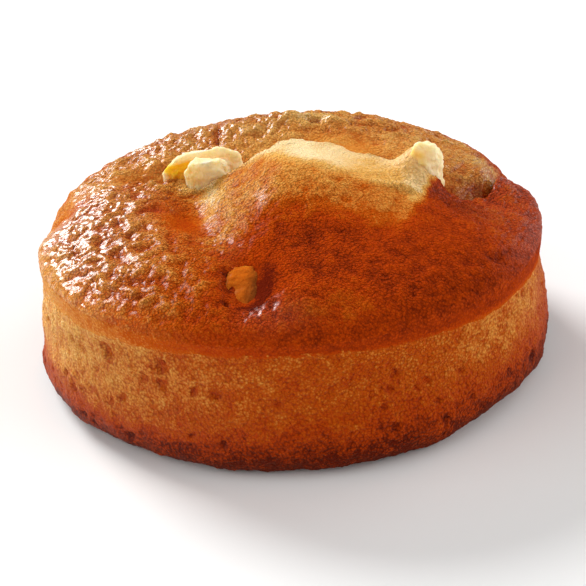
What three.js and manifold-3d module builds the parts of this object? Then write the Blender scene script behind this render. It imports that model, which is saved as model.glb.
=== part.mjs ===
// A small round apple cake, baked in a plain tin and turned out on its flat base.
// Its dome has split across the middle: the front half has risen into a torn crest, the back half
// stays lower behind the crack, and four pieces of apple show where the crust has parted.
//
// Millimetres, +Z up. The origin is the centre of the base, the camera side of the cake is -Y.
import * as THREE from 'three';
import { mergeGeometries, mergeVertices } from 'three/addons/utils/BufferGeometryUtils.js';
import Module from 'manifold-3d';

// ---- driving dimensions -------------------------------------------------------------------
const RADIUS = 41.9;            // rim of the top, where the dome meets the side
const FOOT_RADIUS = 42.9;       // side near the base, where the batter filled the tin
const RIM_HEIGHT = 22.4;        // side's height, up to the rim of the top
const DOME_RISE = 6.0;          // plain dome above the rim, before its swellings
const DOME_FLATNESS = 4;        // power of the dome's profile: higher is flatter in the middle
const DOME_SHOULDER = 0.65;     // and lower is fuller at the shoulder
const FRONT_RISE = 1.0;         // the rim stands this much higher at the front
const BASE_RADIUS = 36.5;       // flat part of the base
const EDGE_RADIUS = 4.6;        // rounding between base and side
const WAIST_HEIGHT = 18.0;      // shallow waist where the risen top hung over the tin
const WAIST_DEPTH = 0.35;
const WAIST_REACH = 1.8;        // half height of the waist
const WAIST_FRONT_LIFT = 3;     // it runs this much higher at the front
const TAPER = { from: 6, to: 16 };   // heights between which the side is drawn in to the rim
const RIM_LIFT_FROM = 14;       // above this height the side follows the rim's rise and fall
const RIM_BLEND = 3;            // waist and wobble die out this far below the rim
const APPLE_GAP = 0.3;          // clearance round each piece of apple in its pocket

// ---- fineness of the surface --------------------------------------------------------------
const TOP_GRID = 40;            // cells along each side of the top's grid
const EDGE_RINGS = 4;           // rings on the rounding of the base
const SIDE_RINGS = 8;           // rings up the side
const CRACK_CROWDING = 1.3;     // draws the grid's rows closer together at the crack
const APPLE_SEGMENTS = 18;
const APPLE_RINGS = 12;

// ---- the crack, seen from above -----------------------------------------------------------
const CRACK_Y = 5.0;            // line of the crack at the middle of the cake
const CRACK_LEFT_ANGLE = THREE.MathUtils.degToRad(168);   // where it runs out at the rim
const CRACK_RIGHT_ANGLE = THREE.MathUtils.degToRad(20);
const CRACK_FACE = 1.5;         // width of the torn face, from its lip to its foot
const CRACK_DEPTH = 3.6;        // trench behind the torn face
const CRACK_REACH = 3.2;        // half width of that trench
const CRACK_TRENCH = 1.15;      // the trench is deepest this many half widths behind the line
const CRACK_OPEN = { from: -31, full: -22, closing: 33, to: 41 };   // x between which it gapes
// Bends of the line: behind the left lobe, round the hollow on the right, and out to the rim.
const CRACK_LEFT_BEND = { from: 10, to: 18, shift: 3.2 };
const CRACK_HOLLOW_BEND = { x: 29, reach: 6, shift: -7.5 };
const CRACK_RIGHT_BEND = { from: 33, to: 41, shift: 11 };

// Swellings and hollows of the top. Each stands at (x, y), reaches its own distance to the left,
// right, front and back, and rises by `rise` (a hollow by less than nothing).
const FRONT_FORMS = {
  mainHill: { x: 1.6, y: 5, left: 10, right: 14.2, front: 19, back: 9, rise: 7.3 },
  crestEar: { x: 22.6, y: 2, left: 4, right: 3, front: 4.5, back: 3.5, rise: 5.6 },
  rightShoulder: { x: 15, y: -10, left: 14, right: 12, front: 12, back: 9, rise: 1.5 },
  leftLobe: { x: -27, y: -1, left: 9, right: 9, front: 12, back: 9, rise: 1.2 },
  valley: { x: -15.5, y: -3, left: 3.8, right: 3.6, front: 8, back: 9, rise: -2.0 },
  valleyFoot: { x: -12.5, y: -14, left: 3, right: 3, front: 6, back: 7, rise: -0.9 },
  dimple: { x: -7.2, y: -30, left: 3, right: 3.8, front: 6, back: 7.5, rise: -2.8 },
  dimpleLip: { x: 0, y: -34, left: 6, right: 6, front: 4, back: 4, rise: 0.8 },
  rightDip: { x: 31, y: -1, left: 7, right: 9, front: 9, back: 8, rise: -2.0 },
};
const BACK_FORMS = {
  backSwell: { x: 2, y: 27, left: 23, right: 22, front: 8, back: 8, rise: 3.2 },
  rightHollow: { x: 30, y: 3, left: 5, right: 5, front: 4, back: 6, rise: -3.2 },
};
// These two take the rim down with them, where the crack runs out.
const RIM_FORMS = {
  leftFacet: { x: -42, y: 5, left: 6, right: 6, front: 6, back: 9, rise: -2.6 },
  rightNotch: { x: 41, y: 13, left: 6, right: 6, front: 5, back: 7, rise: -2.4 },
};

const RIM_FADE = 12;            // power with which the other swellings die out at the rim

// Ripples too low to be swellings: height, waves per radian or per millimetre, and phase.
const CRACK_RIPPLES = [
  { height: 0.3, along: 0.9, phase: 0 },
  { height: 0.2, along: 2.1, phase: 2 },
];
const TOP_RIPPLES = [
  { height: 0.16, alongX: 0.75, alongY: 0.5, phase: 0 },
  { height: 0.13, alongX: -0.62, alongY: 0.9, phase: 1.3 },
  { height: 0.09, alongX: 1.5, alongY: 1.1, phase: 2.2 },
];
const SIDE_RIPPLES = [
  { height: 0.14, round: 5, up: 0.3 },
  { height: 0.1, round: 11, up: -0.8 },
];
const EDGE_RIPPLES = [
  { height: 0.15, round: 17, phase: 1 },
  { height: 0.12, round: 29, phase: 0 },
];
const EDGE_FADE = { in: 1, out: 7 };   // heights between which the lower edge's forms die out

// Where the lower edge is fuller or more worn: angle in degrees from +X, reach along the edge.
const EDGE_FORMS = {
  fullLeft: { angle: 192, reach: 20, rise: 1.1 },
  wornFrontLeft: { angle: 236, reach: 9, rise: -0.6 },
  wornFrontRight: { angle: 316, reach: 10, rise: -1.0 },
  fullRight: { angle: 335, reach: 10, rise: 0.5 },
  wornBack: { angle: 100, reach: 30, rise: -0.5 },
};

// Pieces of apple: place of the middle, full size, turn about the upright and lean to the front.
// `narrowing` is how much slimmer the left and the front end are, and `bend` brings the left end forward.
const APPLES = {
  apple_front: {
    at: [-8.4, -30.0, 23.9], size: [7.6, 15.0, 5.2], turn: -9, lean: 15,
    boxiness: 0.5, narrowing: { left: 0, front: 0.4 }, bend: 0,
  },
  apple_left_slice: {
    at: [-14.2, 11.4, 26.6], size: [13.8, 3.2, 10.6], turn: 8, lean: -6,
    boxiness: 0.5, narrowing: { left: 0.2, front: 0 }, bend: 1.8,
  },
  apple_left_chunk: {
    at: [-13.2, 6.9, 27.8], size: [7.2, 4.0, 7.8], turn: 8, lean: -6,
    boxiness: 0.4, narrowing: { left: 0, front: 0 }, bend: 0,
  },
  apple_right: {
    at: [23.3, 1.8, 28.9], size: [5.0, 5.4, 12.8], turn: -12, lean: 8,
    boxiness: 0.6, narrowing: { left: 0, front: 0 }, bend: 0,
  },
};
const APPLE_LUMP = 0.05;        // unevenness of a piece of apple, as a share of its size

// ---- colours read from the baked crust and the fruit ----------------------------------------
const crust = new THREE.MeshStandardMaterial({ color: 0xb5622a, roughness: 0.5, metalness: 0 });
const apple = new THREE.MeshStandardMaterial({ color: 0xe8c272, roughness: 0.35, metalness: 0 });

// ---- form of the cake -----------------------------------------------------------------------
const { smoothstep } = THREE.MathUtils;

/** Height that one swelling or hollow adds at (x, y). */
function swell(form, x, y) {
  const reachX = x < form.x ? form.left : form.right;
  const reachY = y < form.y ? form.front : form.back;
  return form.rise * Math.exp(-(((x - form.x) / reachX) ** 2) - ((y - form.y) / reachY) ** 2);
}

function sum(values) {
  return values.reduce((total, value) => total + value, 0);
}

function sumOfForms(forms, x, y) {
  return sum(Object.values(forms).map((form) => swell(form, x, y)));
}

/** The crack's y at x: behind the left lobe, under the crest, and round the hollow on the right. */
function crackLine(x) {
  const left = CRACK_LEFT_BEND.shift * smoothstep(-x, CRACK_LEFT_BEND.from, CRACK_LEFT_BEND.to);
  const right = CRACK_RIGHT_BEND.shift * smoothstep(x, CRACK_RIGHT_BEND.from, CRACK_RIGHT_BEND.to);
  const away = (x - CRACK_HOLLOW_BEND.x) / CRACK_HOLLOW_BEND.reach;
  const hollow = CRACK_HOLLOW_BEND.shift * Math.exp(-(away ** 2));
  const ripples = CRACK_RIPPLES.map(({ height, along, phase }) => height * Math.sin(along * x + phase));
  return CRACK_Y + left + hollow + right + sum(ripples);
}

/** Low unevenness of the baked surface. */
function unevenness(x, y) {
  return sum(TOP_RIPPLES.map(({ height, alongX, alongY, phase }) => (
    height * Math.sin(alongX * x + alongY * y + phase)
  )));
}

/** Height of the top at (x, y). */
function topHeight(x, y) {
  const reach = Math.min(Math.hypot(x, y) / RADIUS, 1);
  const frontRise = FRONT_RISE * smoothstep(-y / RADIUS, 0, 1);
  const dome = DOME_RISE * (1 - reach ** DOME_FLATNESS) ** DOME_SHOULDER;
  const plain = RIM_HEIGHT + dome + frontRise;
  const fade = 1 - reach ** RIM_FADE;
  const behind = y - crackLine(x);
  const front = sumOfForms(FRONT_FORMS, x, y);
  const opening = smoothstep(x, CRACK_OPEN.from, CRACK_OPEN.full);
  const open = opening * (1 - smoothstep(x, CRACK_OPEN.closing, CRACK_OPEN.to));
  const trench = CRACK_DEPTH * open * Math.exp(-((behind / CRACK_REACH - CRACK_TRENCH) ** 2));
  const back = sumOfForms(BACK_FORMS, x, y) - trench;
  const side = smoothstep(behind, 0, CRACK_FACE);
  const halves = front * (1 - side) + back * side;
  return plain + fade * (halves + unevenness(x, y)) + sumOfForms(RIM_FORMS, x, y);
}

/** Radius of the side at a height and angle: drawn in above the foot, with a waist and a wobble. */
function sideRadius(height, angle) {
  const taper = (RADIUS - FOOT_RADIUS) * smoothstep(height, TAPER.from, TAPER.to);
  const waistHeight = WAIST_HEIGHT + WAIST_FRONT_LIFT * Math.max(0, -Math.sin(angle)) ** 2;
  const waist = WAIST_DEPTH * Math.exp(-(((height - waistHeight) / WAIST_REACH) ** 2));
  const ripples = SIDE_RIPPLES.map((ripple) => (
    ripple.height * Math.sin(ripple.round * angle + ripple.up * height)
  ));
  return FOOT_RADIUS + taper - (waist - sum(ripples)) * smoothstep(RIM_HEIGHT - height, 0, RIM_BLEND);
}

/** How much fuller than its rounding the lower edge is at an angle. */
function edgeFullness(angle) {
  const degrees = THREE.MathUtils.radToDeg(angle);
  const forms = Object.values(EDGE_FORMS).map(({ angle: middle, reach, rise }) => {
    const away = THREE.MathUtils.euclideanModulo(degrees - middle + 180, 360) - 180;
    return rise * Math.exp(-((away / reach) ** 2));
  });
  const ripples = EDGE_RIPPLES.map(({ height, round, phase }) => height * Math.sin(round * angle + phase));
  return sum(forms) + sum(ripples);
}

// ---- grids ------------------------------------------------------------------------------------
/** Place on the top of a point of the square grid, whose middle row follows the crack. */
function topPoint(column, row) {
  const across = Math.sign(row) * Math.abs(row) ** CRACK_CROWDING;
  const discX = column * Math.sqrt(1 - across ** 2 / 2);
  const discY = across * Math.sqrt(1 - column ** 2 / 2);
  const reach = Math.hypot(discX, discY);
  const angle = crackAngle(Math.atan2(discY, discX));
  const x = RADIUS * reach * Math.cos(angle);
  const straight = RADIUS * reach * Math.sin(angle);
  const rowOffset = (crackLine(x) - crackSpoke(x)) * (1 - reach ** 2) * (1 - Math.abs(across));
  const y = straight + rowOffset;
  return new THREE.Vector3(x, y, topHeight(x, y));
}

/** Turns the grid's two level spokes to where the crack runs out at the rim. */
function crackAngle(angle) {
  const rightShare = (1 + Math.cos(angle)) / 2;
  return angle + rightShare * CRACK_RIGHT_ANGLE + (1 - rightShare) * (CRACK_LEFT_ANGLE - Math.PI);
}

/** y of the two turned spokes at x. */
function crackSpoke(x) {
  return Math.abs(x) * Math.tan(x > 0 ? CRACK_RIGHT_ANGLE : Math.PI - CRACK_LEFT_ANGLE);
}

/** Grid point number `step` along the square's border, counted anticlockwise from the right. */
function borderPoint(step) {
  const side = Math.floor(step / TOP_GRID) % 4;
  const along = -1 + (2 * (step % TOP_GRID)) / TOP_GRID;
  return [[1, along], [-along, 1], [-1, -along], [along, -1]][side];
}

function cakeTop() {
  const top = new THREE.PlaneGeometry(2, 2, TOP_GRID, TOP_GRID);
  const points = top.getAttribute('position');
  for (let index = 0; index < points.count; index += 1) {
    const column = -1 + (2 * (index % (TOP_GRID + 1))) / TOP_GRID;
    const row = 1 - (2 * Math.floor(index / (TOP_GRID + 1))) / TOP_GRID;
    points.setXYZ(index, ...topPoint(column, row));
  }
  return top;
}

/** Profile of the base, its rounded edge and the side, as radius and height from the base's middle. */
function sideProfile() {
  const profile = [new THREE.Vector2(0, 0), new THREE.Vector2(BASE_RADIUS, 0)];
  for (let ring = 1; ring <= EDGE_RINGS; ring += 1) {
    const turn = (ring / EDGE_RINGS) * (Math.PI / 2);
    const inset = EDGE_RADIUS * (1 - Math.sin(turn));
    profile.push(new THREE.Vector2(FOOT_RADIUS - inset, EDGE_RADIUS * (1 - Math.cos(turn))));
  }
  for (let ring = 1; ring <= SIDE_RINGS; ring += 1) {
    const height = THREE.MathUtils.lerp(EDGE_RADIUS, RIM_HEIGHT, ring / SIDE_RINGS);
    profile.push(new THREE.Vector2(FOOT_RADIUS, height));
  }
  return profile;
}

/** Base and side in one lathed skin, whose last ring is the border of the top. */
function cakeSide() {
  const profile = sideProfile();
  const spokes = 4 * TOP_GRID;
  const side = new THREE.LatheGeometry(profile, spokes);
  const points = side.getAttribute('position');
  for (let index = 0; index < points.count; index += 1) {
    const ring = index % profile.length;
    const rim = topPoint(...borderPoint(Math.floor(index / profile.length) % spokes));
    const angle = Math.atan2(rim.y, rim.x);
    if (ring === profile.length - 1) {
      points.setXYZ(index, ...rim);
      continue;
    }
    const { x: radius, y: height } = profile[ring];
    const rimLift = (rim.z - RIM_HEIGHT) * smoothstep(height, RIM_LIFT_FROM, RIM_HEIGHT);
    const fade = smoothstep(height, -EDGE_FADE.in, EDGE_FADE.in)
      * (1 - smoothstep(height, EDGE_FADE.in, EDGE_FADE.out));
    const edge = edgeFullness(angle) * fade;
    const fuller = ring < 2 ? 0 : sideRadius(height, angle) - FOOT_RADIUS + edge;
    const reach = radius + fuller;
    points.setXYZ(index, reach * Math.cos(angle), reach * Math.sin(angle), height + rimLift);
  }
  return side;
}

/** One piece of apple, `grow` larger all round. */
function applePiece({ at, size, turn, lean, boxiness, narrowing, bend }, grow = 0) {
  const piece = new THREE.SphereGeometry(1, APPLE_SEGMENTS, APPLE_RINGS);
  const points = piece.getAttribute('position');
  const square = (value) => Math.sign(value) * Math.abs(value) ** boxiness;
  const point = new THREE.Vector3();
  for (let index = 0; index < points.count; index += 1) {
    point.fromBufferAttribute(points, index);
    const lumps = 1 + APPLE_LUMP * (Math.sin(4 * point.x + 2) + Math.sin(5 * point.y + 3 * point.z));
    const [x, y, z] = [point.x, point.y, point.z].map((value) => square(value) * lumps);
    const atLeft = 1 - narrowing.left * (1 - square(point.x)) / 2;
    const atFront = 1 - narrowing.front * (1 - square(point.y)) / 2;
    points.setXYZ(
      index,
      x * (size[0] / 2 * atFront + grow),
      y * (size[1] / 2 + grow) - bend * Math.min(x, 0) ** 2,
      z * (size[2] / 2 * atLeft * atFront + grow),
    );
  }
  piece.rotateX(THREE.MathUtils.degToRad(lean));
  piece.rotateZ(THREE.MathUtils.degToRad(turn));
  piece.translate(...at);
  return piece;
}

// ---- solids ---------------------------------------------------------------------------------
const wasm = await Module();
wasm.setup();

/** Closed solid from a geometry whose neighbouring faces still have vertices of their own. */
function toSolid(geometry) {
  const bare = geometry.clone();
  bare.deleteAttribute('normal');
  bare.deleteAttribute('uv');
  const merged = mergeVertices(bare);
  const vertProperties = new Float32Array(merged.getAttribute('position').array);
  const triVerts = new Uint32Array(merged.index.array);
  return new wasm.Manifold(new wasm.Mesh({ numProp: 3, vertProperties, triVerts }));
}

function toGeometry(solid) {
  const { vertProperties, triVerts } = solid.getMesh();
  const geometry = new THREE.BufferGeometry();
  geometry.setAttribute('position', new THREE.BufferAttribute(new Float32Array(vertProperties), 3));
  geometry.setIndex(new THREE.BufferAttribute(new Uint32Array(triVerts), 1));
  geometry.computeVertexNormals();
  return geometry;
}

/** The cake, with a pocket cut round each piece of apple. */
function cakeBody() {
  const whole = toSolid(mergeGeometries([cakeTop(), cakeSide()]));
  return Object.values(APPLES).reduce(
    (cake, piece) => cake.subtract(toSolid(applePiece(piece, APPLE_GAP))),
    whole,
  );
}

function named(name, geometry, material) {
  const mesh = new THREE.Mesh(geometry, material);
  mesh.name = name;
  return mesh;
}

const group = new THREE.Group();
group.add(named('cake', toGeometry(cakeBody()), crust));
for (const [name, piece] of Object.entries(APPLES)) {
  group.add(named(name, toGeometry(toSolid(applePiece(piece))), apple));
}

export default group;
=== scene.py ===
"""A small round apple cake: its granular glazed crust, its open crumb and the pieces of apple in its crack.

The forms are the CAD cake's own, in millimetres, and each piece adds the fine relief of the real surface.
"""
import math
import random
from collections import namedtuple

import bmesh
import bpy
from mathutils import Matrix, Vector, kdtree, noise


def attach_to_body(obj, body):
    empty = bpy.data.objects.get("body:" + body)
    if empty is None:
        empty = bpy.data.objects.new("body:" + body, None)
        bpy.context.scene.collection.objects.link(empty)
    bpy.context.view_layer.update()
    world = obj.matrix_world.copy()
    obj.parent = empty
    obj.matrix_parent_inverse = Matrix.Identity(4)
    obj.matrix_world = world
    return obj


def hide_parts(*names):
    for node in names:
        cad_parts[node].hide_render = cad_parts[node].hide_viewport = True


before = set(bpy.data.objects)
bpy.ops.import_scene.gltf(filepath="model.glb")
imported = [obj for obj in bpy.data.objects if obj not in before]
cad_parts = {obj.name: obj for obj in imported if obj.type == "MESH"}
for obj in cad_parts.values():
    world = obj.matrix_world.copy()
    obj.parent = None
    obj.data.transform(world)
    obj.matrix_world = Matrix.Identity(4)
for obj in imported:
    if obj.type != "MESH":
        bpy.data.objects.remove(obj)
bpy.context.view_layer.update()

bl_info = {
    "name": "Apple Cake",
    "version": (1, 0, 0),
    "blender": (4, 5, 0),
    "location": "View3D > Sidebar > Cake",
    "description": "Models a small round apple cake with a split, glazed dome",
    "category": "Add Mesh",
}

MM = 0.001
SEED = 11

# ---- form of the cake, in millimetres, as in the CAD model ------------------------------------
BASE_RADIUS = 36.5
EDGE_RADIUS = 4.6
WAIST_HEIGHT = 18.0
WAIST_DEPTH = 0.35
WAIST_REACH = 1.8
FRONT_RISE = 1.0
BAND_FOOT_HEIGHT = 17.8
BAND_FRONT_LIFT = 2.8    # how much higher the band's foot lies at the front
CRACK_Y = 5.0
CRACK_LEFT_ANGLE = math.radians(168)
CRACK_RIGHT_ANGLE = math.radians(20)
CRACK_FACE = 1.5
CRACK_DEPTH = 3.6
CRACK_REACH = 3.2
CRACK_CROWDING = 1.3     # how much the grid's rows crowd towards the crack

Form = namedtuple("Form", "x y left right front back rise")
FRONT_FORMS = {
    "main hill": Form(1.6, 5, 10, 14.2, 19, 9, 7.3),
    "crest arm": Form(22.6, 2, 4.0, 3.0, 4.5, 3.5, 5.6),
    "right shoulder": Form(15, -10, 14, 12, 12, 9, 1.5),
    "left lobe": Form(-27, -1, 9, 9, 12, 9, 1.2),
    "valley": Form(-15.5, -3, 3.8, 3.6, 8, 9, -2.0),
    "valley foot": Form(-12.5, -14, 3, 3, 6, 7, -0.9),
    "dimple": Form(-7.2, -30, 3.0, 3.8, 6, 7.5, -2.8),
    "dimple lip": Form(0, -34, 6, 6, 4, 4, 0.8),
    "right dip": Form(31, -1, 7, 9, 9, 8, -2.0),
}
BACK_FORMS = {
    "back swell": Form(2, 27, 23, 22, 8, 8, 3.2),
    "right hollow": Form(30, 3, 5, 5, 4, 6, -3.2),
}
RIM_FORMS = {
    "left facet": Form(-42, 5, 6, 6, 6, 9, -2.6),
    "right notch": Form(41, 13, 6, 6, 5, 7, -2.4),
}
EDGE_FORMS = ((192, 20, 1.1), (236, 9, -0.6), (316, 10, -1.0), (335, 10, 0.5), (100, 30, -0.5))

# Where the crust is smooth (rise 1) rather than granular.
SMOOTH_PATCHES = {
    "valley": Form(-17, -8, 5, 4, 5, 8, 1.0),
    "dimple": Form(-6.4, -29, 3.6, 4.3, 5, 7, 1.0),
    "hollow": Form(27, 1.5, 3.5, 4, 3, 4, 0.9),
    "inner slope": Form(9, 16, 13, 11, 6, 5, 1.0),
    "left recess": Form(-25, 13, 6, 6, 4, 4, 0.8),
    "left facet": Form(-38, 6, 5, 4, 8, 9, 0.8),
    "front right": Form(22, -20, 24, 20, 22, 14, 0.7),
    "crest": Form(6, 1, 13, 18, 6, 7, 0.95),
}
# Where the light catches the glaze most (rise 1), over a faint gloss everywhere.
GLOSS_PATCHES = {
    "left lobe": Form(-35, -6, 30, 14, 24, 20, 1.6),
    "ridge": Form(-13.2, -8, 1.6, 1.8, 14, 8, 0.15),
    "crescent": Form(-4.5, -29, 2, 2.2, 4.5, 6, -0.6),
    "back left": Form(-14, 28, 26, 20, 12, 12, 1.2),
    "dimple arch": Form(-9.5, -20, 1.8, 2.0, 3, 3, 0.5),
    "hill streak": Form(-4.2, -8.5, 0.8, 1.0, 2.5, 2.0, 0.4),
    "right back": Form(31, 8, 6, 6, 5, 6, 0.6),
    "dimple lip": Form(-3, -37.5, 5, 5, 2.5, 2.5, 0.8),
    "back right": Form(24, 22, 18, 14, 17, 12, 0.9),
    "right rim": Form(38, -4, 8, 8, 18, 18, 0.5),
}
# Small tears and holes that only the visible surface has. Their dips are also painted darker on the top, as
# painted shade.
TEARS = {
    "hole": Form(5.3, 25.1, 1.3, 1.6, 1.1, 1.1, -1.3),
    "torn lip": Form(2.2, 26.3, 1.6, 1.4, 1.4, 1.4, 0.7),
    "torn bead": Form(8.4, 24.0, 1.2, 1.4, 1.3, 1.3, 0.6),
    "back crack": Form(-11.4, 22.7, 0.5, 0.5, 3.4, 3.4, -0.9),
    "left notch": Form(-20.7, 9.8, 1.1, 1.0, 1.2, 1.6, -1.3),
    "deep pocket": Form(-22.5, -4.2, 1.8, 1.6, 1.2, 1.4, -0.6),
    "slit": Form(-10.0, -28.0, 0.6, 0.6, 2.2, 2.6, -0.8),
    "pin hole": Form(-10.3, -33.4, 0.5, 0.6, 0.7, 0.7, -0.9),
    "pale ledge": Form(18.6, -6.6, 3.4, 2.4, 1.0, 2.4, 0.7),
}

# Open pits on the left of the side: angle in degrees, height and size in millimetres.
PITS = ((212, 15.9, 1.0), (215.5, 15.4, 1.1), (225, 17.5, 1.6), (240.5, 18.0, 1.5), (240.2, 15.1, 1.3),
        (221.7, 13.4, 0.8), (213, 7.5, 0.9), (248, 14.8, 0.9))

# Where the top is paler (rise above 0) or darker than round about. Some are the batter's own tone, such as
# the torn crumb, the smears and the cream ridge; the darkening in the valley, the left notch, the deep
# pocket, the crescent beside the apple and the slit by the dimple is painted shade, and the paler front
# middle is painted light over the shade of the steep front slope.
TINTS_PAINTED_LIGHT_AND_SHADE = {
    "back tear": Form(5.5, 26.0, 4, 6, 3.0, 2.6, 0.34),
    "right foot": Form(30, 6, 5, 6, 4, 4, -0.12),
    "back middle": Form(-6, 24, 8, 7, 6, 5, 0.08),
    "orange smear": Form(21.0, -9.8, 1.6, 1.8, 1.2, 1.6, 0.22),
    "back caramel": Form(20.0, 20.0, 3, 3, 3, 3, 0.06),
    "hollow": Form(27.0, 1.4, 2.6, 5.0, 2.4, 3.4, -0.12),
    "hollow crumb": Form(29.5, 3.0, 1.6, 1.6, 1.0, 1.2, 0.20),
    "left recess": Form(-25.0, 13.2, 4.5, 4.0, 1.6, 1.8, -0.10),
    "left notch": Form(-20.7, 9.6, 1.3, 1.2, 1.4, 1.6, -0.35),
    "deep pocket": Form(-22.5, -4.2, 2.2, 2.0, 1.6, 1.8, -0.16),
    "crescent": Form(-4.7, -30.5, 1.4, 2.2, 4.2, 5.0, -0.30),
    "dimple foot": Form(-6.6, -34.6, 2.4, 2.2, 1.5, 1.6, -0.26),
    "ear foot": Form(19.5, -1.5, 3, 4, 3, 3, -0.09),
    "dimple side": Form(-10.6, -26, 1.2, 1.6, 3.5, 3.0, -0.12),
    "slice foot": Form(-15.5, 5.0, 4.0, 3.0, 1.6, 2.4, 0.36),
    "ridge": Form(-12.9, 1.0, 1.7, 2.4, 6.0, 3.5, 0.40),
    "valley": Form(-17, -8, 3.5, 3.0, 4, 6, -0.13),
    "crest right": Form(13.5, -2.5, 4, 5, 3, 3, -0.12),
    "front left": Form(-14, -34, 7, 7, 5, 5, -0.04),
    "front middle": Form(6, -37, 9, 9, 4, 4, 0.20),
}

# Pieces of apple: middle, size, turn and lean in degrees, boxiness, how much slimmer the left and the front
# end are, how far the left end bends forward, raggedness, dryness and material slot.
Apple = namedtuple("Apple", "at size turn lean boxiness slim_left slim_front bend ragged dryness slot")
APPLES = {
    "apple_front": Apple((-8.4, -30.0, 23.9), (7.6, 15.0, 5.2), -9, 15, 0.5,
                         0, 0.4, 0, 0.4, 0.0, "baked_apple"),
    "apple_left_slice": Apple((-14.2, 11.4, 26.6), (13.8, 3.2, 10.6), 8, -6, 0.5,
                              0.2, 0, 1.8, 0.7, 0.0, "pale_apple"),
    "apple_left_chunk": Apple((-13.2, 6.9, 27.8), (7.2, 4.0, 7.8), 8, -6, 0.4,
                              0, 0, 0, 0.9, 0.7, "pale_apple"),
    "apple_right": Apple((23.3, 1.8, 28.9), (5.0, 5.4, 12.8), -12, 8, 0.6,
                         0, 0, 0, 0.8, 0.5, "pale_apple"),
}

# ---- fineness -----------------------------------------------------------------------------------
TOP_CELLS = 276          # cells along each side of the crust's grid
SKIRT_RINGS = 13         # rings of the smooth band under the rim
SIDE_SPOKES = 900        # steps round the crumb side
SIDE_STEP = 0.3          # height of a step on the crumb side
PORES = 320              # open pores on the crumb side
APPLE_LEVELS = 6         # subdivisions of a piece of apple
EDGE_STEPS = 16          # rings round the rounded lower edge
BASE_RINGS = (0.8, 0.94, 1.0)

# ---- how the crust and the crumb overlap and close, in millimetres ---------------------------------
BAND_OVERLAP = 0.9       # how far the band reaches down over the crumb
CRUMB_TOP_DROP = 1.2     # how far below the rim the crumb ends
CRUMB_LID_DROP = 3       # how far below its top ring the crumb's lid comes to a point
CRUST_LID_DROP = 5       # how far below the rim the crust's underside comes to a point
PORE_DEPTH = 0.6         # depth of a pore for its size
PORE_REACH = 1.8         # radius that a pore can change, for its size


# ---- plain helpers --------------------------------------------------------------------------------
def smoothstep(value, low, high):
    share = min(max((value - low) / (high - low), 0.0), 1.0)
    return share * share * (3 - 2 * share)


def mix(a, b, share):
    return a + (b - a) * share


def swell(form, x, y):
    reach_x = form.left if x < form.x else form.right
    reach_y = form.front if y < form.y else form.back
    return form.rise * math.exp(-(((x - form.x) / reach_x) ** 2) - ((y - form.y) / reach_y) ** 2)


def total(forms, x, y):
    return sum(swell(form, x, y) for form in forms.values())


def wave(x, y, size, offset=0.0):
    """Smooth noise from -1 to 1 whose lumps are about `size` millimetres."""
    return noise.noise(Vector((x / size, y / size, offset)))


def lumps(place, size, offset=0.0):
    """Smooth noise in space, from -1 to 1."""
    return noise.noise(place / size + Vector((0, 0, offset)))


def granules(place, size):
    """Rounded granules in space with creases between them, from about -0.5 to 0.5."""
    away = noise.voronoi(place / size)[0][0]
    return 0.5 - min(away * away, 1.0)


# ---- form of the cake ---------------------------------------------------------------------------
def crack_line(x):
    left = 3.2 * smoothstep(-x, 10, 18)
    hollow = -7.5 * math.exp(-(((x - 29) / 6) ** 2))
    right = 11 * smoothstep(x, 33, 41)
    return CRACK_Y + left + hollow + right + 0.3 * math.sin(0.9 * x)


def ragged_crack(x):
    """The crack with its torn edge, which is soft along the crest."""
    torn = 0.2 + 0.8 * max(1 - smoothstep(x, -12, -8), smoothstep(x, 19, 23))
    fine = 0.4 * wave(x, 0.6, 1.5, 4.4) + 0.3 * wave(x, 0.3, 0.8, 9.4)
    return crack_line(x) + 0.4 * wave(x, 2.1, 5.0, 4.4) + torn * fine


def crack_open(x):
    """How open the crack is, from 0 beyond its ends to 1 along its middle."""
    return smoothstep(x, -31, -22) * (1 - smoothstep(x, 33, 41))


def crack_angle(angle):
    """Angle that turns the grid's middle row onto the two ends of the crack."""
    share = (1 + math.cos(angle)) / 2
    return angle + share * CRACK_RIGHT_ANGLE + (1 - share) * (CRACK_LEFT_ANGLE - math.pi)


def edge_fullness(angle):
    degrees = math.degrees(angle)
    nicks = 0.15 * math.sin(17 * angle + 1) + 0.12 * math.sin(29 * angle)
    for middle, reach, rise in EDGE_FORMS:
        away = (degrees - middle + 180) % 360 - 180
        nicks += rise * math.exp(-((away / reach) ** 2))
    return nicks


def band_foot(angle):
    """Height at which the smooth band under the rim ends and the open crumb begins."""
    ragged = 0.35 * math.sin(3 * angle + 1) + 0.5 * wave(9 * angle, 0, 1.0, 3.0)
    return BAND_FOOT_HEIGHT + BAND_FRONT_LIFT * max(0.0, -math.sin(angle)) ** 1.5 + ragged


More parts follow.
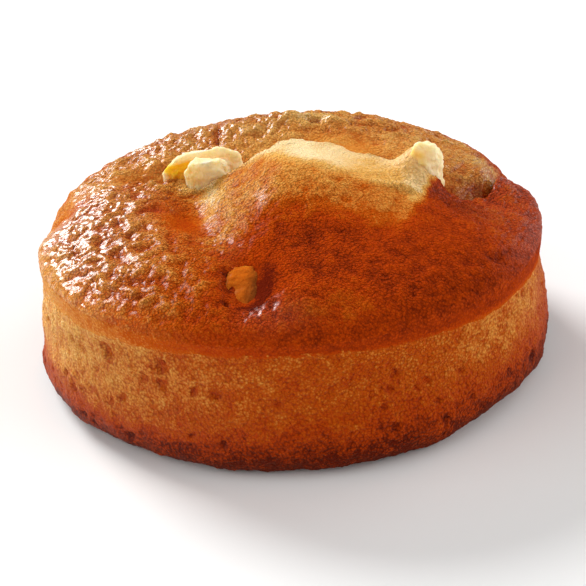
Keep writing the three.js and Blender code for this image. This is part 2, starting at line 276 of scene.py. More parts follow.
class CakeForm:
    """The cake's surface for the sizes in the panel."""

    def __init__(self, sizes):
        self.radius = sizes.radius
        self.foot_radius = sizes.foot_radius
        self.rim_height = sizes.rim_height
        self.dome_rise = sizes.dome_rise

    def top_height(self, x, y, tears=True):
        reach = min(math.hypot(x, y) / self.radius, 1.0)
        front_rise = FRONT_RISE * smoothstep(-y / self.radius, 0, 1)
        plain = self.rim_height + self.dome_rise * (1 - reach**4) ** 0.65 + front_rise
        if reach == 1.0:
            return plain + total(RIM_FORMS, x, y)
        fade = 1 - reach**12
        behind = y - ragged_crack(x) + 0.4 * wave(x, 3 * y, 1.7, 14.0)
        trench = CRACK_DEPTH * crack_open(x) * math.exp(-(((behind - 1.15 * CRACK_REACH) / CRACK_REACH) ** 2))
        side = smoothstep(behind, 0, CRACK_FACE)
        front = total(FRONT_FORMS, x, y) if side < 1 else 0.0
        back = total(BACK_FORMS, x, y) - trench if side > 0 else 0.0
        torn = total(TEARS, x, y) if tears else 0.0
        uneven = 0.35 * wave(x, y, 6.0, 8.0)
        return plain + fade * (mix(front, back, side) + uneven + torn) + total(RIM_FORMS, x, y)

    def top_place(self, column, row):
        """x and y on the top of a point of the square grid, whose middle row follows the crack."""
        across = math.copysign(abs(row) ** CRACK_CROWDING, row)
        disc_x = column * math.sqrt(1 - across * across / 2)
        disc_y = across * math.sqrt(1 - column * column / 2)
        reach = math.hypot(disc_x, disc_y)
        angle = crack_angle(math.atan2(disc_y, disc_x))
        x = self.radius * reach * math.cos(angle)
        y = self.radius * reach * math.sin(angle)
        spoke = abs(x) * math.tan(CRACK_RIGHT_ANGLE if x > 0 else math.pi - CRACK_LEFT_ANGLE)
        return x, y + (crack_line(x) - spoke) * (1 - reach * reach) * (1 - abs(across))

    def rim(self, angle):
        return self.top_height(self.radius * math.cos(angle), self.radius * math.sin(angle), False)

    def side_point(self, radius, height, angle, rim):
        """Point of the side at a radius and height of the plain profile."""
        taper = (self.radius - self.foot_radius) * smoothstep(height, 6, 16)
        waist_height = WAIST_HEIGHT + 3 * max(0.0, -math.sin(angle)) ** 2
        waist = WAIST_DEPTH * math.exp(-(((height - waist_height) / WAIST_REACH) ** 2))
        wobble = 0.14 * math.sin(5 * angle + 0.3 * height) + 0.1 * math.sin(11 * angle - 0.8 * height)
        below_rim = smoothstep(self.rim_height - height, 0, 3)
        edge = edge_fullness(angle) * smoothstep(height, -1, 1) * (1 - smoothstep(height, 1, 7))
        reach = radius + taper - (waist - wobble) * below_rim + edge
        lift = (rim - self.rim_height) * smoothstep(height, 14, self.rim_height)
        return Vector((reach * math.cos(angle), reach * math.sin(angle), height + lift))


# ---- finish of the crust --------------------------------------------------------------------------
def facing_left(angle):
    """How much a point of the side faces the left, towards the warm light; the band and the crumb are painted
    paler there as painted light.
    """
    return max(0.0, math.cos(angle - math.radians(192))) ** 2


def band_browning_and_left_light(angle):
    # Painted light: the band is made paler where it faces the left.
    return mix(0.87, 0.36, facing_left(angle)) + 0.04 * wave(9 * angle, 0, 2.0)


def front_browning_light_and_shade(x, y):
    """Browning of the front half: cream along the crack, golden below it, then brown, with painted shade in
    the valley and the right edge painted paler as painted sheen.
    """
    baked = mix(0.50, 0.84, smoothstep(x, -26, 4))
    # Painted shade: darker in the valley.
    baked += 0.02 * swell(SMOOTH_PATCHES["valley"], x, y)
    # Darker towards the front; the right edge is painted paler, as painted sheen.
    baked += 0.05 * smoothstep(-y, 14, 26) - 0.06 * smoothstep(x, 26, 36)
    end = 25.2 + 0.35 * min(y, 0.0)
    span = smoothstep(x, -18, -11) * (1 - smoothstep(x, end - 1.6, end))
    cream_line = 4.6 - 7.0 * smoothstep(x, -8, 4) - 0.26 * max(x - 2, 0.0)
    golden_line = -7.0 - 0.27 * (x + 10) - 9.0 * math.exp(-(((x + 10.5) / 3.5) ** 2))
    golden = smoothstep(y, golden_line - 8, min(golden_line + 3.5, cream_line)) * span
    pale = smoothstep(y, cream_line - 2.2, cream_line + 0.6) * span
    cream = smoothstep(y, cream_line, cream_line + 2.4) * span
    baked = mix(baked, 0.46, golden)
    baked = mix(baked, 0.22, pale)
    butter = 0.07 * smoothstep(x, 5, 14) * (1 - smoothstep(x, 17, 20))
    butter += 0.16 * max(0.0, wave(x, y, 4.5, 12.0))
    return mix(baked, 0.03 + butter, cream)


def back_browning(x, y, behind):
    """Browning of the back half: torn crumb and a smooth slope by the crack, then crust."""
    torn = 1 - smoothstep(behind, CRACK_FACE, CRACK_FACE + 5)
    opened = smoothstep(x, -30, -20) * (1 - smoothstep(x, 34, 39))
    baked = mix(0.40, 0.50, smoothstep(y, 16, 36))
    baked = mix(baked, mix(0.34, 0.60, smoothstep(x, 22, 28)), torn * opened)
    return mix(baked, 0.40, 0.8 * swell(SMOOTH_PATCHES["inner slope"], x, y))


def torn_face(x, y):
    """How much a point of the top is on the torn face inside the crack, behind the crest."""
    behind = y - crack_line(x)
    above_foot = 1 - smoothstep(behind, CRACK_FACE + 0.5, CRACK_FACE + 3)
    return crack_open(x) * smoothstep(behind, 0.0, 0.8) * above_foot


def crust_finish(x, y):
    """How browned (0 cream to 1 dark), with painted shade in the tears' dips and painted light and shade from
    the tints, how granular and how glossy the top is at a point.
    """
    x += 0.8 * wave(x, y, 4.0, 2.0) + 0.4 * wave(x, y, 1.3, 3.0)
    y += 0.9 * wave(x, y, 3.2, 5.0) + 0.5 * wave(x, y, 1.2, 6.0)
    behind = y - crack_line(x)
    grain = 1.0 - min(1.0, total(SMOOTH_PATCHES, x, y))
    grain = max(grain + swell(TEARS["pale ledge"], x, y), torn_face(x, y))
    near_rim = smoothstep(math.hypot(x, y), 37.5, 42.0)
    gloss = max(0.0, 0.02 + total(GLOSS_PATCHES, x, y)) * smoothstep(grain, 0.1, 0.6)
    gloss *= 1 - 0.7 * near_rim * smoothstep(y, 4, 14)
    side = smoothstep(behind, 0.2, 1.2)
    baked = mix(front_browning_light_and_shade(x, y), back_browning(x, y, behind), side)
    # Painted shade: where the tears dip into holes, cracks, notches and the slit, the colour is made darker.
    baked += 0.28 * min(max(0.0, -total(TEARS, x, y)), 1.0) + 0.05 * wave(x, y, 9.0, 7.0)
    # The tints add more painted shade and painted light where they are listed as such.
    baked = max(baked - total(TINTS_PAINTED_LIGHT_AND_SHADE, x, y), min(baked, 0.1))
    return mix(baked, band_browning_and_left_light(math.atan2(y, x)), near_rim), mix(grain, 0.4, near_rim), gloss


# ---- making and finishing pieces --------------------------------------------------------------------
def store(bm, name):
    """Leaves the bmesh, drawn in millimetres, as a named object in the scene."""
    bmesh.ops.scale(bm, vec=(MM, MM, MM), verts=bm.verts)
    mesh = bpy.data.meshes.new(name)
    bm.to_mesh(mesh)
    bm.free()
    piece = bpy.data.objects.new(name, mesh)
    bpy.context.scene.collection.objects.link(piece)
    mesh.shade_smooth()
    return piece


def attach(piece, node, material):
    piece.data.materials.append(material)
    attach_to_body(piece, "root")
    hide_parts(node)


def next_ring(bm, ring):
    """Extrudes a closed ring of border edges; returns the new ring's edges and vertices."""
    made = bmesh.ops.extrude_edge_only(bm, edges=ring)["geom"]
    edges = [part for part in made if isinstance(part, bmesh.types.BMEdge) and part.is_boundary]
    return edges, {corner for edge in edges for corner in edge.verts}


def new_layers(bm, *names):
    """Named values that each vertex holds for the materials."""
    return [bm.verts.layers.float.new(name) for name in names]


def close_ring(bm, ring, height):
    """Closes a ring of border edges with a fan to a point on the axis."""
    _, corners = next_ring(bm, ring)
    bmesh.ops.pointmerge(bm, verts=list(corners), merge_co=Vector((0, 0, height)))
    bmesh.ops.recalc_face_normals(bm, faces=bm.faces)
    bm.normal_update()


def build_crust(form):
    bm = bmesh.new()
    bmesh.ops.create_grid(bm, x_segments=TOP_CELLS, y_segments=TOP_CELLS, size=1.0)
    baked, grain, gloss = new_layers(bm, "baked", "grain", "gloss")
    ring = [edge for edge in bm.edges if edge.is_boundary]
    for vert in bm.verts:
        x, y = form.top_place(vert.co.x, vert.co.y)
        vert.co = (x, y, form.top_height(x, y))
        vert[baked], vert[grain], vert[gloss] = crust_finish(x, y)
    for step in range(1, SKIRT_RINGS + 1):
        ring, corners = next_ring(bm, ring)
        down = step / SKIRT_RINGS
        for vert in corners:
            angle = math.atan2(vert.co.y, vert.co.x)
            height = mix(form.rim_height, band_foot(angle) - BAND_OVERLAP, down)
            tuck = 0.8 * smoothstep(down, 0.78, 1.0)
            vert.co = form.side_point(form.foot_radius - tuck, height, angle, form.rim(angle))
            foot = crumb_browning_light_and_shade(height, angle) + 0.06
            vert[baked] = mix(band_browning_and_left_light(angle), foot, smoothstep(down, 0.5, 1.0))
            vert[grain] = mix(0.5, 0.06, smoothstep(down, 0.0, 0.25))
            vert[gloss] = 0.04 + 0.2 * facing_left(angle)
    close_ring(bm, ring, form.rim_height - CRUST_LID_DROP)
    for vert in bm.verts:
        place, rough = vert.co.copy(), vert[grain]
        bead = granules(place, 0.75)
        hollow = lumps(place, 2.4) + 0.5 * lumps(place, 1.3, 30)
        coarse = max(0.85 * smoothstep(-place.x, 12, 22), 0.6 * smoothstep(place.y, 12, 20))
        coarse = mix(mix(0.24, 0.72, coarse), 0.8, torn_face(place.x, place.y))
        relief = coarse * hollow * mix(0.2, 1.0, rough) + 0.42 * bead * mix(0.1, 1.0, rough)
        vert.co += vert.normal * relief
        # Painted light and shade: bead tops and raised lumps are made paler and the creases and hollows
        # between them darker, where the crust is browned.
        browned = smoothstep(vert[baked], 0.1, 0.4)
        vert[baked] -= (0.12 * bead + 0.18 * hollow) * mix(0.15, 1.0, rough) * browned
    return store(bm, "crust")


def crumb_profile(form, top):
    """Radius and height of the side's rings, from the flat base to the top under the crust."""
    rings = [(BASE_RADIUS * share, 0.0) for share in BASE_RINGS]
    for step in range(1, EDGE_STEPS + 1):
        turn = step / EDGE_STEPS * math.pi / 2
        inset = EDGE_RADIUS * (1 - math.sin(turn))
        rings.append((form.foot_radius - inset, EDGE_RADIUS * (1 - math.cos(turn))))
    rise = top - EDGE_RADIUS
    count = round(rise / SIDE_STEP)
    rings += [(form.foot_radius, EDGE_RADIUS + rise * step / count) for step in range(1, count + 1)]
    return rings


def build_crumb(form):
    top = form.rim_height - CRUMB_TOP_DROP
    bm = bmesh.new()
    bmesh.ops.create_circle(bm, cap_ends=True, cap_tris=True, segments=SIDE_SPOKES, radius=BASE_RADIUS / 2)
    baked, grain, gloss, pit = new_layers(bm, "baked", "grain", "gloss", "pit")
    ring = [edge for edge in bm.edges if edge.is_boundary]
    rims = {}
    for radius, height in crumb_profile(form, top):
        ring, corners = next_ring(bm, ring)
        for vert in corners:
            angle = math.atan2(vert.co.y, vert.co.x)
            place = Vector((radius * math.cos(angle), radius * math.sin(angle), height))
            if radius > BASE_RADIUS:
                key = round(angle, 4)
                rim = rims[key] if key in rims else rims.setdefault(key, form.rim(angle))
                tuck = 0.7 * smoothstep(height, band_foot(angle), band_foot(angle) + 1.0)
                place = form.side_point(radius - tuck, height, angle, rim)
            vert.co = place
            vert[baked] = crumb_browning_light_and_shade(height, angle)
            vert[grain] = smoothstep(radius, BASE_RADIUS - 0.5, BASE_RADIUS + 2)
            vert[gloss] = 0.03 + 0.27 * facing_left(angle) + 0.12 * max(0.0, math.cos(angle + 0.17)) ** 8
    close_ring(bm, ring, top - CRUMB_LID_DROP)
    for vert in bm.verts:
        place = vert.co.copy()
        cell = granules(place, 0.9) * smoothstep(lumps(place, 3.0, 17), -0.5, 0.5)
        cell += 0.6 * granules(place, 0.6)
        relief = 0.20 * lumps(place, 1.7, 11) + 0.14 * lumps(place, 4.0, 51) - 0.24 * cell
        vert.co += vert.normal * relief * vert[grain]
        # Painted shade: the pits of the cells are made darker.
        vert[baked] += 0.20 * cell
    open_pores(bm, form, pit)
    return store(bm, "crumb")


def crumb_browning_light_and_shade(height, angle):
    """Browning of the side with painted light and shade: paler at the left as painted light, golden at the
    upper right, dark at the foot from browning and painted shade.
    """
    ragged = height + 1.3 * wave(9 * angle, height, 2.2) + 0.6 * wave(30 * angle, height, 0.8)
    gold = math.exp(-((math.degrees(angle + 2 * math.pi) % 360 - 328) / 26) ** 2) * smoothstep(height, 7, 16)
    # Painted light makes the left paler; the side is darker below 15 mm and towards the foot, partly as
    # painted shade.
    plain = 0.61 - 0.36 * facing_left(angle) - 0.18 * gold + 0.08 * (1 - smoothstep(height, 8, 15))
    return mix(plain, 1.0, (1 - smoothstep(ragged, 0.5, 11.5)) ** 1.1)


def open_pores(bm, form, pit):
    """Presses pores of uneven size into the crumb side, and keeps how hard each point is pressed, which the
    crumb's colour uses as painted shade in the pores.
    """
    tree = kdtree.KDTree(len(bm.verts))
    bm.verts.ensure_lookup_table()
    for index, vert in enumerate(bm.verts):
        tree.insert(vert.co, index)
    tree.balance()
    draw = random.Random(SEED)
    pits = [(draw.uniform(0, 360), draw.uniform(2.5, 18.5), 0.3 + 0.75 * draw.random() ** 3)
            for _ in range(PORES)]
    for degrees, height, size in (*PITS, *pits):
        angle = math.radians(degrees)
        middle = form.side_point(form.foot_radius, height, angle, form.rim_height)
        inward = Vector((math.cos(angle), math.sin(angle))) * size * PORE_DEPTH
        for place, index, away in tree.find_range(middle, size * PORE_REACH):
            uneven = away / size * (1 + 0.5 * lumps(place, 0.9, 7))
            press = 1 - smoothstep(uneven, 0.4, 1.15)
            vert = bm.verts[index]
            vert.co.xy -= inward * press
            vert[pit] = max(vert[pit], press * min(1.0, size))


def build_apple(name, apple):
    bm = bmesh.new()
    bmesh.ops.create_icosphere(bm, subdivisions=APPLE_LEVELS, radius=1.0)
    rim, = new_layers(bm, "rim")
    for vert in bm.verts:
        uneven = 1 + 0.05 * math.sin(4 * vert.co.x + 2) + 0.05 * math.sin(5 * vert.co.y + 3 * vert.co.z)
        x, y, z = (math.copysign(abs(part) ** apple.boxiness, part) for part in vert.co)
        at_left = 1 - apple.slim_left * (1 - x) / 2
        at_front = 1 - apple.slim_front * (1 - y) / 2
        if apple.slot == "baked_apple":
            vert[rim] = max(smoothstep(-y, -0.2, 0.9), smoothstep(x, 0.0, 0.9))
        else:
            peel = max(smoothstep(z, 0.8, 0.95), smoothstep(-x, 0.93, 1.0), smoothstep(x, -0.3, 0.3),
                       smoothstep(y, 0.0, 0.6))
            vert[rim] = max(apple.dryness, peel)
        x, y, z = x * uneven, y * uneven, z * uneven
        vert.co = (x * apple.size[0] / 2 * at_front, y * apple.size[1] / 2 - apple.bend * min(x, 0) ** 2,
                   z * apple.size[2] / 2 * at_left * at_front)
    lean = Matrix.Rotation(math.radians(apple.lean), 3, "X")
    turn = Matrix.Rotation(math.radians(apple.turn), 3, "Z")
    bmesh.ops.rotate(bm, cent=(0, 0, 0), matrix=turn @ lean, verts=bm.verts)
    bmesh.ops.translate(bm, vec=apple.at, verts=bm.verts)
    bm.normal_update()
    for vert in bm.verts:
        place = vert.co.copy()
        relief = 0.7 * lumps(place, 2.6) + 0.5 * lumps(place, 1.1, 20) + 0.35 * granules(place, 0.7)
        vert.co += vert.normal * relief * apple.ragged
    return store(bm, name)


# ---- shader groups ------------------------------------------------------------------------------------
def add_node(tree, kind, inputs=None, **settings):
    """A node of one kind, with its settings, and its inputs given as values or as sockets to link."""
    made = tree.nodes.new(kind)
    for key, value in settings.items():
        setattr(made, key, value)
    for key, value in (inputs or {}).items():
        if isinstance(value, bpy.types.NodeSocket):
            tree.links.new(value, made.inputs[key])
        else:
            made.inputs[key].default_value = value
    return made


def new_group(name, inputs, outputs):
    """An empty node group with named sockets, and its input and output nodes."""
    tree = bpy.data.node_groups.new(name, "ShaderNodeTree")
    for socket, (kind, value) in inputs.items():
        made = tree.interface.new_socket(name=socket, in_out="INPUT", socket_type=kind)
        if value is not None:
            made.default_value = value
    for socket, kind in outputs.items():
        tree.interface.new_socket(name=socket, in_out="OUTPUT", socket_type=kind)
    return tree, tree.nodes.new("NodeGroupInput"), tree.nodes.new("NodeGroupOutput")


def arithmetic(tree, operation, first, second, third=None):
    inputs = {0: first, 1: second}
    if third is not None:
        inputs[2] = third
    return add_node(tree, "ShaderNodeMath", inputs, operation=operation).outputs[0]


def remap(tree, value, low, high, to_low, to_high):
    """`value` from low to high, carried over to the range from to_low to to_high."""
    return add_node(tree, "ShaderNodeMapRange", {
        "Value": value, "From Min": low, "From Max": high,
        "To Min": to_low, "To Max": to_high}).outputs["Result"]


def browning_group():
    """Colour of baked batter, from raw cream at 0 to dark brown at 1."""
    found = bpy.data.node_groups.get("Browning")
    if found:
        return found
    tree, given, result = new_group("Browning", {"Baked": ("NodeSocketFloat", 0.5)},
                                    {"Color": "NodeSocketColor"})
    ramp = add_node(tree, "ShaderNodeValToRGB", {"Fac": given.outputs["Baked"]})
    colours = bpy.context.scene.apple_cake_colours
    stops = ((0.0, colours.cream), (0.18, colours.butter), (0.38, colours.golden),
             (0.56, colours.amber), (0.76, colours.brown), (1.0, colours.dark))
    elements = ramp.color_ramp.elements
    while len(elements) < len(stops):
        elements.new(1.0)
    for element, (place, colour) in zip(elements, stops):
        element.position = place
        element.color = (*colour, 1.0)
    tree.links.new(ramp.outputs["Color"], result.inputs["Color"])
    return tree


def mottle_group():
    """Uneven value round 0, made of coarse blotches and fine specks."""
    found = bpy.data.node_groups.get("Mottle")
    if found:
        return found
    tree, given, result = new_group("Mottle", {
        "Vector": ("NodeSocketVector", None), "Blotch Size": ("NodeSocketFloat", 3.0),
        "Speck Size": ("NodeSocketFloat", 0.5), "Blotches": ("NodeSocketFloat", 0.1),
        "Specks": ("NodeSocketFloat", 0.1)}, {"Value": "NodeSocketFloat"})
    total_value = None
    for size, amount in (("Blotch Size", "Blotches"), ("Speck Size", "Specks")):
        scale = arithmetic(tree, "DIVIDE", 1000.0, given.outputs[size])
        grain = add_node(tree, "ShaderNodeTexNoise",
                         {"Vector": given.outputs["Vector"], "Scale": scale, "Detail": 2.0})
        centred = arithmetic(tree, "SUBTRACT", grain.outputs["Fac"], 0.5)
        scaled = arithmetic(tree, "MULTIPLY", centred, given.outputs[amount])
        total_value = scaled if total_value is None else arithmetic(tree, "ADD", total_value, scaled)
    tree.links.new(total_value, result.inputs["Value"])
    return tree


def grain_group():
    """Height in millimetres of a granular surface of beads and grit, and a speck on top of each bead, which
    the materials paint paler as a painted highlight and use to break up the gloss.
    """
    found = bpy.data.node_groups.get("Grain")
    if found:
        return found
    tree, given, result = new_group("Grain", {
        "Vector": ("NodeSocketVector", None), "Bead Size": ("NodeSocketFloat", 0.6),
        "Beads": ("NodeSocketFloat", 0.1), "Grit": ("NodeSocketFloat", 0.05)},
        {"Height": "NodeSocketFloat", "Speck": "NodeSocketFloat"})
    scale = arithmetic(tree, "DIVIDE", 1000.0, given.outputs["Bead Size"])
    bead = add_node(tree, "ShaderNodeTexVoronoi", {"Vector": given.outputs["Vector"], "Scale": scale},
                    feature="F1").outputs["Distance"]
    domed = arithmetic(tree, "SUBTRACT", 0.5, arithmetic(tree, "MULTIPLY", bead, bead))
    beads = arithmetic(tree, "MULTIPLY", domed, given.outputs["Beads"])
    finer = arithmetic(tree, "MULTIPLY", scale, 1.9)
    grit = add_node(tree, "ShaderNodeTexNoise",
                    {"Vector": given.outputs["Vector"], "Scale": finer, "Detail": 3.0})
    height = arithmetic(tree, "MULTIPLY_ADD", grit.outputs["Fac"], given.outputs["Grit"], beads)
    tree.links.new(height, result.inputs["Height"])
    tree.links.new(remap(tree, bead, 0.15, 0.55, 1.0, 0.0), result.inputs["Speck"])
    return tree


def place_group(tree, group, **inputs):
    made = tree.nodes.new("ShaderNodeGroup")
    made.node_tree = group
    for key, value in inputs.items():
        socket = made.inputs[key.replace("_", " ")]
        if isinstance(value, bpy.types.NodeSocket):
            tree.links.new(value, socket)
        else:
            socket.default_value = value
    return made


def new_material(name, **shader):
    """A material with its Principled shader's constant sockets set."""
    material = bpy.data.materials.new(name)
    material.use_nodes = True
    tree = material.node_tree
    principled = tree.nodes["Principled BSDF"]
    for key, value in shader.items():
        principled.inputs[key.replace("_", " ")].default_value = value
    coords = tree.nodes.new("ShaderNodeTexCoord").outputs["Object"]
    return material, tree, principled, coords


def attribute(tree, name):
    return add_node(tree, "ShaderNodeAttribute", attribute_name=name).outputs["Fac"]


def bump_from(tree, principled, height, strength=1.0):
    """Bump whose height is in millimetres."""
    bump = add_node(tree, "ShaderNodeBump", {"Height": height, "Strength": strength, "Distance": MM})
    tree.links.new(bump.outputs["Normal"], principled.inputs["Normal"])


def crust_material():
    material, tree, principled, coords = new_material(
        "baked crust", Specular_IOR_Level=0.0, Coat_Roughness=0.25,
        Sheen_Weight=0.015, Sheen_Roughness=0.5, Sheen_Tint=(1.0, 0.62, 0.42, 1.0),
        Subsurface_Weight=0.1, Subsurface_Radius=(1.0, 0.4, 0.12), Subsurface_Scale=0.0006)
    baked = attribute(tree, "baked")
    grain = attribute(tree, "grain")
    mottle = place_group(tree, mottle_group(), Vector=coords, Blotch_Size=1.4, Speck_Size=0.55,
                         Blotches=0.13, Specks=0.20)
    share = remap(tree, baked, 0.05, 0.45, 0.3, 1.0)
    beads = remap(tree, grain, 0.0, 1.0, 0.08, 0.75)
    height = place_group(tree, grain_group(), Vector=coords, Bead_Size=0.45, Beads=beads, Grit=0.18)
    # Painted highlight: the bead tops are made paler, on top of the random mottle.
    uneven = arithmetic(tree, "MULTIPLY_ADD", height.outputs["Speck"], -0.11, mottle.outputs["Value"])
    tone = arithmetic(tree, "MULTIPLY_ADD", uneven, share, baked)
    browning = place_group(tree, browning_group(), Baked=tone)
    tree.links.new(browning.outputs["Color"], principled.inputs["Base Color"])
    broken = remap(tree, height.outputs["Speck"], 0.0, 1.0, 0.42, 1.0)
    gloss = arithmetic(tree, "MULTIPLY", attribute(tree, "gloss"), broken)
    tree.links.new(arithmetic(tree, "MINIMUM", gloss, 1.0), principled.inputs["Coat Weight"])
    rough = remap(tree, mottle.outputs["Value"], -0.2, 0.2, 0.38, 0.6)
    tree.links.new(rough, principled.inputs["Roughness"])
    bump_from(tree, principled, height.outputs["Height"])
    return material


def crumb_material():
    material, tree, principled, coords = new_material(
        "open crumb", Specular_IOR_Level=0.0, Coat_Roughness=0.3,
        Sheen_Weight=0.06, Sheen_Roughness=0.45, Sheen_Tint=(1.0, 0.66, 0.42, 1.0),
        Subsurface_Weight=0.1, Subsurface_Radius=(1.0, 0.4, 0.12), Subsurface_Scale=0.0006)
    mottle = place_group(tree, mottle_group(), Vector=coords, Blotch_Size=3.2, Speck_Size=0.5,
                         Blotches=0.36, Specks=0.26)
    tone = arithmetic(tree, "ADD", attribute(tree, "baked"), mottle.outputs["Value"])
    # Painted shade: the pores are made darker.
    tone = arithmetic(tree, "MULTIPLY_ADD", attribute(tree, "pit"), 0.18, tone)
    tree.links.new(attribute(tree, "gloss"), principled.inputs["Coat Weight"])
    height = place_group(tree, grain_group(), Vector=coords, Bead_Size=0.45, Beads=0.42, Grit=0.24)
    # Painted light and shade: the grain's raised beads are made paler and its creases darker, and the bead
    # tops get a painted highlight.
    risen = arithmetic(tree, "SUBTRACT", 0.2, height.outputs["Height"])
    tone = arithmetic(tree, "MULTIPLY_ADD", risen, 0.25, tone)
    tone = arithmetic(tree, "MULTIPLY_ADD", height.outputs["Speck"], -0.10, tone)
    browning = place_group(tree, browning_group(), Baked=tone)
    tree.links.new(browning.outputs["Color"], principled.inputs["Base Color"])
    rough = remap(tree, mottle.outputs["Value"], -0.2, 0.2, 0.5, 0.75)
    tree.links.new(rough, principled.inputs["Roughness"])
    bump_from(tree, principled, height.outputs["Height"])
    return material


def apple_material(name, flesh, rim_colour, scatter):
    material, tree, principled, coords = new_material(
        name, Specular_IOR_Level=0.0, Coat_Weight=0.02, Coat_Roughness=0.2,
        Subsurface_Weight=scatter, Subsurface_Radius=(1.0, 0.75, 0.4), Subsurface_Scale=0.003)
    mottle = place_group(tree, mottle_group(), Vector=coords, Blotch_Size=3.0, Speck_Size=0.6,
                         Blotches=0.9, Specks=0.35)
    share = arithmetic(tree, "ADD", attribute(tree, "rim"), mottle.outputs["Value"])
    colour = add_node(tree, "ShaderNodeMix", data_type="RGBA", clamp_factor=True)
    tree.links.new(share, colour.inputs[0])
    colour.inputs[6].default_value = (*flesh, 1.0)
    colour.inputs[7].default_value = (*rim_colour, 1.0)
    tree.links.new(colour.outputs[2], principled.inputs["Base Color"])
    rough = remap(tree, mottle.outputs["Value"], -0.5, 0.5, 0.3, 0.5)
    tree.links.new(rough, principled.inputs["Roughness"])
    height = place_group(tree, grain_group(), Vector=coords, Bead_Size=0.6, Beads=0.08, Grit=0.12)
    bump_from(tree, principled, height.outputs["Height"])
    return material


# ---- stage --------------------------------------------------------------------------------------------
# The camera stands in front of the cake, 27.5 degrees up, a little turned about its own axis.
CAMERA_DISTANCE = 0.300
CAMERA_ELEVATION = math.radians(27.5)
CAMERA_ROLL = math.radians(-3.7)
CAMERA_TARGET = Vector((0, 0, 0.016))
IMAGE_SIZE = 586
TARGET_PIXEL = (291.3, 258.9)
PIXELS_PER_METRE = 5920
SENSOR = 36.0
FLOOR_REACH = 6000.0     # millimetres from the middle to the edge of the floor
WORLD_STRENGTH = 0.26
# Each lamp's name, the direction that its light comes from, its strength and its softness in degrees.
LAMPS = (
    ("window", (-0.50, 0.72, 0.50), 3.6, 26),
    ("left fill", (-0.85, -0.35, 0.45), 1.2, 60),
    ("back fill", (0.75, 0.60, 0.35), 0.7, 40),
    ("right fill", (0.92, -0.25, 0.25), 1.7, 60),
    ("top fill", (0.10, -0.40, 0.90), 0.2, 70),
)


def build_camera():
    camera = bpy.data.cameras.new("camera")
    camera.sensor_width = SENSOR
    camera.lens = PIXELS_PER_METRE * CAMERA_DISTANCE * SENSOR / IMAGE_SIZE
    camera.shift_x = (IMAGE_SIZE / 2 - TARGET_PIXEL[0]) / IMAGE_SIZE
    camera.shift_y = (TARGET_PIXEL[1] - IMAGE_SIZE / 2) / IMAGE_SIZE
    camera.clip_start = 0.01
    holder = bpy.data.objects.new("camera", camera)
    turn = Matrix.Rotation(math.pi / 2 - CAMERA_ELEVATION, 4, "X") @ Matrix.Rotation(CAMERA_ROLL, 4, "Z")
    away = Vector((0, -math.cos(CAMERA_ELEVATION), math.sin(CAMERA_ELEVATION))) * CAMERA_DISTANCE
    holder.matrix_world = Matrix.Translation(CAMERA_TARGET + away) @ turn
    bpy.context.scene.collection.objects.link(holder)
    bpy.context.scene.camera = holder


def add_lamp(name, towards, strength, softness):
    """Soft far light that comes from the direction `towards`."""
    lamp = bpy.data.lights.new(name, "SUN")
    lamp.energy = strength
    lamp.angle = math.radians(softness)
    holder = bpy.data.objects.new(name, lamp)
    holder.rotation_euler = Vector(towards).to_track_quat("Z", "Y").to_euler()
    bpy.context.scene.collection.objects.link(holder)


def build_floor():
    bm = bmesh.new()
    bmesh.ops.create_grid(bm, x_segments=1, y_segments=1, size=FLOOR_REACH)
    floor = store(bm, "floor")
    material, *_ = new_material("pale floor", Roughness=0.9, Specular_IOR_Level=0.1,
                                Base_Color=(0.93, 0.93, 0.92, 1))
    floor.data.materials.append(material)


def build_world():
    world = bpy.data.worlds.new("studio")
    world.use_nodes = True
    background = world.node_tree.nodes["Background"]
    background.inputs["Color"].default_value = (1, 1, 1, 1)
    background.inputs["Strength"].default_value = WORLD_STRENGTH
    bpy.context.scene.world = world
    bpy.context.scene.view_settings.view_transform = "Standard"


# ---- add-on ---------------------------------------------------------------------------------------------
class AppleCakeSizes(bpy.types.PropertyGroup):
    """Sizes of the cake, in millimetres"""
    radius: bpy.props.FloatProperty(name="Rim radius", description="Radius where the dome meets the side",
                                    default=41.9, min=20.0)
    foot_radius: bpy.props.FloatProperty(name="Foot radius", description="Radius of the side near the base",
                                         default=42.9, min=20.0)
    rim_height: bpy.props.FloatProperty(name="Rim height", description="Height of the side up to the rim",
                                        default=22.4, min=5.0)
    dome_rise: bpy.props.FloatProperty(name="Dome rise", description="Height of the plain dome above the rim",
                                       default=6.0, min=0.0)


def colour_property(name, description, default):
    return bpy.props.FloatVectorProperty(name=name, description=description, default=default,
                                         subtype="COLOR", size=3, min=0.0, max=1.0)


class AppleCakeColours(bpy.types.PropertyGroup):
    """Colours of the batter as it browns, and of the apple"""
    cream: colour_property("Cream", "Batter that the crack has bared", (0.97, 0.74, 0.40))
    butter: colour_property("Butter", "Barely baked batter", (0.80, 0.42, 0.10))
    golden: colour_property("Golden", "Golden crumb", (0.66, 0.23, 0.034))
    amber: colour_property("Amber", "Amber crust", (0.50, 0.085, 0.003))
    brown: colour_property("Brown", "Browned crust", (0.42, 0.042, 0.0015))
    dark: colour_property("Dark", "Darkest crust at the base", (0.12, 0.009, 0.002))
    flesh: colour_property("Apple flesh", "Flesh of the pale apple", (0.99, 0.55, 0.02))
    rim: colour_property("Apple rim", "Dry outer side of the pale apple", (0.99, 0.76, 0.43))
    baked_flesh: colour_property("Baked flesh", "Flesh of the apple in the dimple", (0.54, 0.115, 0.007))
    baked_rim: colour_property("Baked rim", "Browned end of the apple in the dimple", (0.26, 0.060, 0.009))


class CAKE_OT_crumb(bpy.types.Operator):
    """Models the open crumb of the side and the base"""
    bl_idname = "cake.crumb"
    bl_label = "Crumb"

    def execute(self, context):
        attach(build_crumb(CakeForm(context.scene.apple_cake)), "cake", crumb_material())
        return {"FINISHED"}


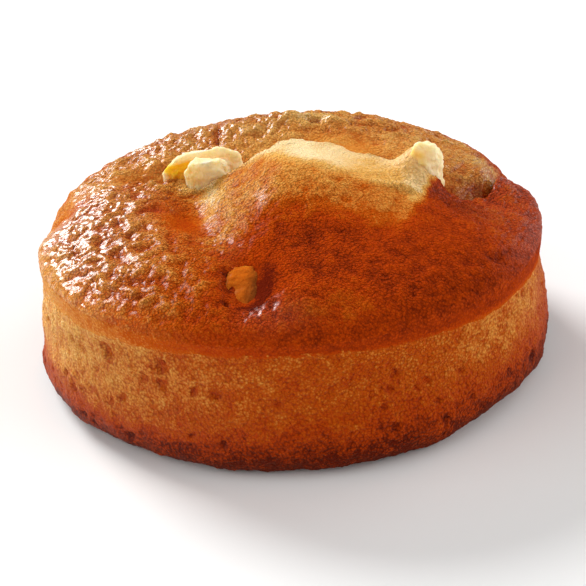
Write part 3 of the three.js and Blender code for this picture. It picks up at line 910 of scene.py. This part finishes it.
class CAKE_OT_crust(bpy.types.Operator):
    """Models the split dome with its granular crust, and the smooth band under its rim"""
    bl_idname = "cake.crust"
    bl_label = "Crust"

    def execute(self, context):
        attach(build_crust(CakeForm(context.scene.apple_cake)), "cake", crust_material())
        return {"FINISHED"}


class CAKE_OT_apples(bpy.types.Operator):
    """Models the four pieces of apple"""
    bl_idname = "cake.apples"
    bl_label = "Apple pieces"

    def execute(self, context):
        colours = context.scene.apple_cake_colours
        pale = apple_material("pale apple", colours.flesh, colours.rim, 0.6)
        amber = apple_material("baked apple", colours.baked_flesh, colours.baked_rim, 0.3)
        materials = {"pale_apple": pale, "baked_apple": amber}
        for name, apple in APPLES.items():
            attach(build_apple(name + "_flesh", apple), name, materials[apple.slot])
        return {"FINISHED"}


class CAKE_OT_stage(bpy.types.Operator):
    """Sets the floor, the soft light and the camera"""
    bl_idname = "cake.stage"
    bl_label = "Stage"

    def execute(self, context):
        build_camera()
        build_floor()
        build_world()
        for lamp in LAMPS:
            add_lamp(*lamp)
        return {"FINISHED"}


class CAKE_PT_panel(bpy.types.Panel):
    """Sizes, colours and the steps that make the cake"""
    bl_idname = "CAKE_PT_panel"
    bl_label = "Apple Cake"
    bl_space_type = "VIEW_3D"
    bl_region_type = "UI"
    bl_category = "Cake"

    def draw(self, context):
        for group in (context.scene.apple_cake, context.scene.apple_cake_colours):
            box = self.layout.box()
            for name in group.bl_rna.properties.keys():
                if name not in ("rna_type", "name"):
                    box.prop(group, name)
        for operator in OPERATORS:
            self.layout.operator(operator.bl_idname)


OPERATORS = (CAKE_OT_crumb, CAKE_OT_crust, CAKE_OT_apples, CAKE_OT_stage)
CLASSES = (AppleCakeSizes, AppleCakeColours, *OPERATORS, CAKE_PT_panel)


def register():
    for cls in CLASSES:
        bpy.utils.register_class(cls)
    bpy.types.Scene.apple_cake = bpy.props.PointerProperty(type=AppleCakeSizes)
    bpy.types.Scene.apple_cake_colours = bpy.props.PointerProperty(type=AppleCakeColours)


def unregister():
    del bpy.types.Scene.apple_cake_colours
    del bpy.types.Scene.apple_cake
    for cls in reversed(CLASSES):
        bpy.utils.unregister_class(cls)


def main():
    register()
    bpy.ops.cake.crumb()
    bpy.ops.cake.crust()
    bpy.ops.cake.apples()
    bpy.ops.cake.stage()


if __name__ == "__main__":
    main()
